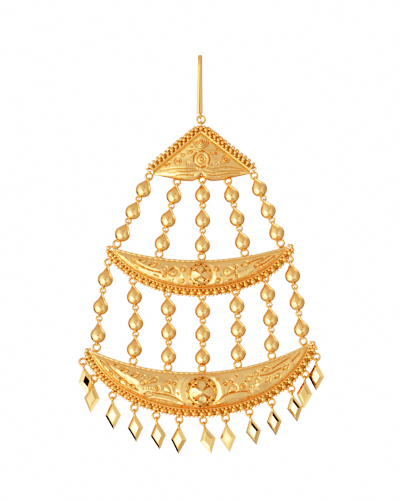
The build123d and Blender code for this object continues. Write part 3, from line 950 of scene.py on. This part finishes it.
def drop_bead(name, ends):
    """A pointed dome in a drop-shaped wire whose right strand crosses over at the top."""
    axis = ends.top - ends.foot
    reach = np.linalg.norm(axis)
    lean = math.degrees(math.atan2(axis[0], axis[2]))
    upper = BEAD_POINT + (reach - BEAD_LENGTH) * UPPER_SHARE
    centre = ends.foot + axis / reach * (reach - upper)
    plane = Plane(centre[0] + BEAD_NUDGE[0], centre[2] + BEAD_NUDGE[1], -lean)
    bead = Metal()
    sphere, triangles = LARGE_BALL
    up = np.clip(sphere[:, 1:2], 0, 1)
    dome = sphere * BEAD_RADII * np.where((1, 0, 1), 1 - 0.5 * up**3, 1)
    dome[:, 2] *= np.where(dome[:, 2] > 0, BEAD_FRONT, 1)
    dome += up**3 * (0, 0.82, 0) + (0, BEAD_Y, 0)
    # Painted shade, growing towards the dome's edge.
    rim = sphere[:, 0] ** 2 + sphere[:, 1] ** 2
    bead.add(plane.place(dome), triangles, BEAD_RIM_SHADE * np.clip(rim - 0.1, 0, None))

    # The wire runs up the right side, over the point, and down the left side behind it.
    outline = np.vstack([
        arc(0, BEAD_Y, STRAND_RADIUS, -60, 38, 18),
        smooth([(1.6, 0.94), (0.9, 1.85), (0.12, upper - 0.1)], 6)[1:],
    ])
    height = np.interp(outline[:, 1], (-1.2, -0.4, 0.8, 1.4, 2.6), (-0.05, 0.2, 0.9, 1.05, 0.6))
    right = np.column_stack([outline, height])
    over = [(0.0, upper + 0.6, 0.35), (0, upper + 0.65, -0.3), (0, upper - 0.1, -0.5)]
    left = outline[::-1] * (-1, 1)
    left_height = np.interp(left[:, 1], (-2.0, 0.2, 2.0, 2.6), (-0.05, -0.05, 0.15, -0.2))
    base = [(0, -2.34, -0.05)]
    path = smooth(np.vstack([base, right, over, np.column_stack([left, left_height])]), 3)
    radius = np.interp(path[:, 1], (-2.2, 0.8, 2.2, upper), (0.36, 0.36, 0.34, 0.3))
    # Painted shade along the wire, fading out on its upper right side, which catches the light.
    x, y = path[:, 0], path[:, 1]
    open_share = climb(x + y, -0.4, 1.2) * (x > 0)
    bead.tube(plane.place(path), radius, closed=True, shade=STRAND_SHADE * (1 - open_share))

    foot = arc(0, BEAD_Y, STRAND_RADIUS, 240, 300, 9)[1:-1]
    disc = np.vstack([outline, [(0, 2.5)], left, foot])
    count = len(disc)
    wall = [[count + i, count + (i + 1) % count, (i + 1) % count, i] for i in range(count)]
    rims = [plane.place(in_3d(disc, h)) for h in (DISC_FRONT, DISC_BACK)]
    # The flat disc behind the wire has painted shade.
    bead.add(np.vstack(rims), wall, BEAD_DISC_SHADE)
    bead.cap(bead.count - 2 * count, count)
    bead.cap(bead.count - count, count, flip=True)

    # The eye and its post have painted shade all over.
    bead.ring(ends.foot + (0, 0, 0.1), *BEAD_EYE, face_on=False, lean=lean)
    post = [(0, -1.9, 0.1), (0, plane.local(ends.foot)[1] + 0.3, 0.1)]
    bead.tube(plane.place(post), 0.42, shade=RING_SHADE)
    bead.piece(name.replace("string", "drop"), bead_gold, [name], "bead_gold")


def strings(level):
    """Makes one level's beads and links, and returns where its first and last rings are."""
    starts, ends = [], []
    links = [Metal() for _ in range(BEADS - 1)]
    for number in range(1, STRINGS[level] + 1):
        beads = []
        for place in range(1, BEADS + 1):
            name = f"{level}_string_{number}_bead_{place}"
            beads.append(bead_ends(name))
            drop_bead(name, beads[-1])
        for link, above, below in zip(links, beads, beads[1:]):
            link.ring((above.foot + below.top) / 2 + LINK_NUDGE, *LINK_RING)
        run = direction(beads[0].top - beads[-1].foot)
        starts.append((beads[0].top + HANGING_RING.radius * run, HANGING_RING))
        ends.append((beads[-1].foot - STANDING_RING.radius * run, STANDING_RING))
    for place, link in enumerate(links, 1):
        name = f"{level}_string_links_{place}"
        link.piece(f"{level}_jump_rings_{place}", polished, [name], "wire_gold")
    return starts, ends


# --- Dangles ---


def dangle_frame(name):
    """Corners of a dangle's flat back, from its CAD node: top, right, foot and left."""
    mesh = frame["nodes"][name].data
    largest = sorted(mesh.polygons, key=lambda face: face.area)[-2:]
    corners = np.array([mesh.vertices[i].co[:] for face in largest for i in face.vertices]) / MM
    x, z = corners[:, 0], corners[:, 2]
    return corners[[z.argmax(), x.argmax(), z.argmin(), x.argmin()]]


def turn_between(start, end):
    """The rotation matrix that turns one direction straight to another."""
    axis = np.cross(start, end)
    cross = np.cross(np.eye(3), axis)
    return np.eye(3) + cross + cross @ cross / (1 + start @ end)


def facet_normal(across, up, front, slope):
    """Where a facet at a diamond's upper right faces."""
    edge = direction(across / (across @ across) + up / (up @ up))
    slope = math.radians(slope)
    return math.sin(slope) * edge + math.cos(slope) * front


def dangle(number):
    """A bevelled diamond of polished sheet with its eye. Returns where its ring is."""
    name = f"dangle_{number}"
    top, right, foot, left = dangle_frame(name) + DANGLE_NUDGE
    foot = foot + DANGLE_STRETCH * (foot - top)
    centre = (top + foot) / 2
    across = (right - left) / 2
    up = (top - foot) / 2
    front = direction(np.cross(across, up))
    if number in FACING_SLOPE:
        facet = facet_normal(across, up, front, FACING_SLOPE[number])
        across, up, front = np.array((across, up, front)) @ turn_between(facet, FRONT).T
        centre = top - up
    fold = TURNED_FOLD if FACING_SLOPE.get(number) else FOLD
    fold_height = EDGE_HEIGHT + OUTER_RISE * (1 - fold)
    table_height = fold_height + INNER_RISE * (fold - TABLE)
    profile = (
        (0.0, 0.96), (0.06, 1.0), (EDGE_HEIGHT, 1.0), (fold_height, fold), (table_height, TABLE),
    )
    corners = np.array([(0, 1), (1, 0), (0, -1), (-1, 0)], float)
    steps = np.linspace(0, 1, 8, endpoint=False)[:, None]
    sides = zip(corners, np.roll(corners, -1, 0))
    loop = np.vstack([start + (end - start) * steps for start, end in sides])
    layers = [
        centre + loop[:, :1] * share * across + loop[:, 1:] * share * up + h * front
        for h, share in profile
    ]
    drop = Metal()
    count = len(loop)
    drop.add(np.vstack(layers), grid_faces(len(profile), count, around=True))
    drop.cap(drop.count - count, count, flip=True)
    drop.cap(0, count)
    rise = direction(up)
    hang = top + 0.3 * front
    eye_spot = hang + rise * 0.35
    turns = full_turn(28)[:, None]
    loop = eye_spot + DANGLE_EYE.radius * (np.cos(turns) * rise + np.sin(turns) * front)
    # The eye and its neck have painted shade all over.
    drop.tube(loop, DANGLE_EYE.wire, closed=True, shade=RING_SHADE)
    drop.tube([hang - rise * 1.2, hang - rise * 0.1], [0.5, 0.36], shade=RING_SHADE)
    drop.piece(f"diamond_{number}", dangle_gold, [name], "dangle_gold", sharp=10)
    spot = np.array((eye_spot[0], pendant_y, eye_spot[2]))
    spot += DANGLE_RING.radius * direction(rise * (1, 0, 1))
    return spot, DANGLE_RING


# --- Materials ---


# Colour of the gold in the open, then of its painted shade, down to the bottom of a hollow.
GOLD = (0.97, 0.58, 0.25, 1)
SHADED_GOLD = (0.75, 0.32, 0.06, 1)
DARKLY_SHADED_GOLD = (0.10, 0.025, 0.003, 1)
CLOUD_SCALE = 300.0  # of the slow changes in tone and form
CLOUD_TONE = 0.12
HOLLOW_ROUGHNESS = 0.25
GRAIN_DEPTH = 0.00002  # in metres
DENT_DEPTH = 0.0005


def add_node(tree, kind, **values):
    """A new shader node, with values set on its inputs, an underscore for each space."""
    made = tree.nodes.new(f"ShaderNode{kind}")
    for name, value in values.items():
        made.inputs[name.replace("_", " ")].default_value = value
    return made


def gold(name, roughness, bump, grain, dent):
    """Polished yellow gold with shade painted into its colour from a point attribute, deeper and
    darker in its hollows, with fine wear in gloss and surface.
    """
    material = bpy.data.materials.new(name)
    material.use_nodes = True
    tree = material.node_tree
    links = tree.links
    shader = tree.nodes["Principled BSDF"]
    shader.inputs["Metallic"].default_value = 1.0
    place = add_node(tree, "TexCoord")

    def noise(scale, detail):
        made = add_node(tree, "TexNoise", Scale=scale, Detail=detail)
        links.new(place.outputs["Object"], made.inputs["Vector"])
        return made.outputs["Fac"]

    def scaled(value, factor, addend):
        made = add_node(tree, "Math")
        made.operation = "MULTIPLY_ADD"
        made.inputs[1].default_value = factor
        links.new(value, made.inputs[0])
        links.new(addend, made.inputs[2])
        return made.outputs["Value"]

    def bumps(height, strength, distance):
        made = add_node(tree, "Bump", Strength=strength, Distance=distance)
        links.new(height, made.inputs["Height"])
        return made

    cloud, fine = noise(CLOUD_SCALE, 3.0), noise(grain, 4.0)
    # The painted shade, with a slow random tone, picks the colour from the open gold to the shaded
    # golds, and makes the gold rougher.
    painted_shade = add_node(tree, "Attribute")
    painted_shade.attribute_name = "painted_shade"
    tone = add_node(tree, "ValToRGB")
    ramp = tone.color_ramp.elements
    ramp[0].color = GOLD
    ramp[1].color = DARKLY_SHADED_GOLD
    ramp.new(0.5).color = SHADED_GOLD
    links.new(scaled(cloud, CLOUD_TONE, painted_shade.outputs["Fac"]), tone.inputs["Fac"])
    links.new(tone.outputs["Color"], shader.inputs["Base Color"])

    duller, glossier = roughness * 1.2, roughness * 0.8
    gloss = add_node(tree, "MapRange", From_Min=0.3, From_Max=0.7, To_Min=glossier, To_Max=duller)
    links.new(fine, gloss.inputs["Value"])
    dull = scaled(painted_shade.outputs["Fac"], HOLLOW_ROUGHNESS, gloss.outputs["Result"])
    links.new(dull, shader.inputs["Roughness"])

    grainy = bumps(fine, bump, GRAIN_DEPTH)
    wavy = bumps(cloud, dent, DENT_DEPTH)
    links.new(grainy.outputs["Normal"], wavy.inputs["Normal"])
    links.new(wavy.outputs["Normal"], shader.inputs["Normal"])
    return material


embossed = gold("gold_embossed", 0.24, 0.25, 1500.0, 0.6)
polished = gold("gold_polished", 0.1, 0.2, 900.0, 0.1)
granule_gold = gold("gold_granules", 0.05, 0.2, 900.0, 0.1)
bead_gold = gold("gold_beads", 0.13, 0.2, 900.0, 0.15)
mirror_gold = gold("gold_mirror", 0.06, 0.1, 700.0, 0.2)
dangle_gold = gold("gold_dangles", 0.05, 0.1, 700.0, 0.07)


# --- Studio ---


# A round patch of the tent: its direction from the object in degrees to the viewer's left
# and up, the radii between which it fades, and its brightness.
Patch = namedtuple("Patch", "left up inner outer value")
TENT_LEVEL = 0.93  # brightness where there is no patch
WHITE = (1, 1, 1, 1)
BACKDROP = 1.93  # brightness of the plain ground that the camera sees
FLOOR_DROP = 0.7  # in metres, from the lowest dangle down to the floor
TENT = (
    Patch(180, 0, 60, 104, 0.3),  # behind
    Patch(180, 0, 30, 66, 0.85),  # soft box behind
    Patch(0, 90, 25, 60, 0.8),  # above
    Patch(-40, -5, 10, 35, 1.15),  # soft box on the right
    Patch(62, 22, 12, 42, 1.35),  # soft box high on the left
    Patch(40, -36, 14, 42, 2.9),  # soft box low on the left
    Patch(-14, -46, 8, 24, 0.6),  # table
    Patch(44, -14, 18, 36, 2.1),  # soft box on the left
    Patch(36, -16, 12, 19, 5.2),  # and its brightest part
    Patch(115, 15, 20, 45, 0.7),  # wall on the left
    Patch(-78, 0, 18, 44, 0.65),  # dim wall on the right
    Patch(-16, 34, 5, 20, 0.62),  # dim panel above
    Patch(-24, -22, 4, 14, 1.5),  # bright panel low on the right
    Patch(0, 0, 3.6, 7.2, 0.02),  # camera
    Patch(101, -25, 13, 16, 0.01),  # black flag on the left
)


def studio():
    """A white light tent with soft boxes and a few dark gaps, and a plain pale floor."""
    world = bpy.data.worlds.new("light_tent")
    bpy.context.scene.world = world
    world.use_nodes = True
    tree = world.node_tree
    links = tree.links
    tree.nodes.clear()
    place = add_node(tree, "TexCoord")
    level = None
    for patch in TENT:
        left, up = math.radians(patch.left), math.radians(patch.up)
        dot = add_node(tree, "VectorMath")
        dot.operation = "DOT_PRODUCT"
        dot.inputs[1].default_value = (
            -math.sin(left) * math.cos(up), -math.cos(left) * math.cos(up), math.sin(up)
        )
        links.new(place.outputs["Generated"], dot.inputs[0])
        outer, inner = math.cos(math.radians(patch.outer)), math.cos(math.radians(patch.inner))
        share = add_node(tree, "MapRange", From_Min=outer, From_Max=inner)
        share.interpolation_type = "SMOOTHSTEP"
        links.new(dot.outputs["Value"], share.inputs["Value"])
        mix = add_node(tree, "Mix", A=TENT_LEVEL, B=patch.value)
        links.new(share.outputs["Result"], mix.inputs["Factor"])
        if level:
            links.new(level, mix.inputs["A"])
        level = mix.outputs["Result"]
    tent = add_node(tree, "Background", Color=WHITE)
    links.new(level, tent.inputs["Strength"])
    plain = add_node(tree, "Background", Color=WHITE, Strength=BACKDROP)
    seen = add_node(tree, "LightPath")
    both = add_node(tree, "MixShader")
    links.new(seen.outputs["Is Camera Ray"], both.inputs["Fac"])
    links.new(tent.outputs["Background"], both.inputs[1])
    links.new(plain.outputs["Background"], both.inputs[2])
    output = add_node(tree, "OutputWorld")
    links.new(both.outputs["Shader"], output.inputs["Surface"])

    paint = bpy.data.materials.new("floor_white")
    paint.use_nodes = True
    shader = paint.node_tree.nodes["Principled BSDF"]
    shader.inputs["Base Color"].default_value = (0.92, 0.92, 0.92, 1)
    shader.inputs["Roughness"].default_value = 0.9
    bpy.ops.mesh.primitive_circle_add(
        vertices=96, radius=0.5, fill_type="NGON", location=(0, 0, cad_box[0].z - FLOOR_DROP)
    )
    floor = bpy.context.object
    floor.name = "floor"
    floor.data.materials.append(paint)


# Scene brightness, as a share of FILM_WHITE, and how bright it shows.
FILM_WHITE = 2.0
FILM = (
    (0.015, 0.006), (0.05, 0.065), (0.1, 0.168), (0.2, 0.39), (0.3, 0.585), (0.4, 0.725),
    (0.5, 0.82), (0.67, 0.915), (0.85, 0.975),
)


def film_curve():
    """Lets highlights roll off to cream, and deepens the shadows."""
    view = bpy.context.scene.view_settings
    view.view_transform = "Standard"
    view.use_curve_mapping = True
    view.curve_mapping.white_level = [FILM_WHITE] * 3
    curve = view.curve_mapping.curves[3]
    for place, value in FILM:
        curve.points.new(place, value)
    view.curve_mapping.update()


def camera():
    """A long lens straight in front, which frames the hanging ornament."""
    low, high = cad_box
    distance = 1.5
    frame_height = 0.150
    sensor = 36.0  # in mm, for the longer side of the frame
    lens = bpy.data.cameras.new("camera")
    lens.sensor_width = sensor
    lens.lens = sensor * distance / frame_height
    eye = bpy.data.objects.new("camera", lens)
    bpy.context.scene.collection.objects.link(eye)
    eye.location = (-0.0003, pendant_y * MM - distance, (low.z + high.z) / 2 + 0.001)
    eye.rotation_euler = (math.radians(90), 0, 0)
    bpy.context.scene.camera = eye


hook()
top_rings, middle_standing = strings("upper")
middle_hanging, lower_standing = strings("lower")
dangle_rings = [dangle(number) for number in range(1, DANGLES + 1)]
top_plate(top_rings)
crescent("middle_crescent", middle, middle_ornament, middle_standing + middle_hanging)
crescent("lower_crescent", lower, lower_ornament, lower_standing + dangle_rings)
studio()
camera()
film_curve()
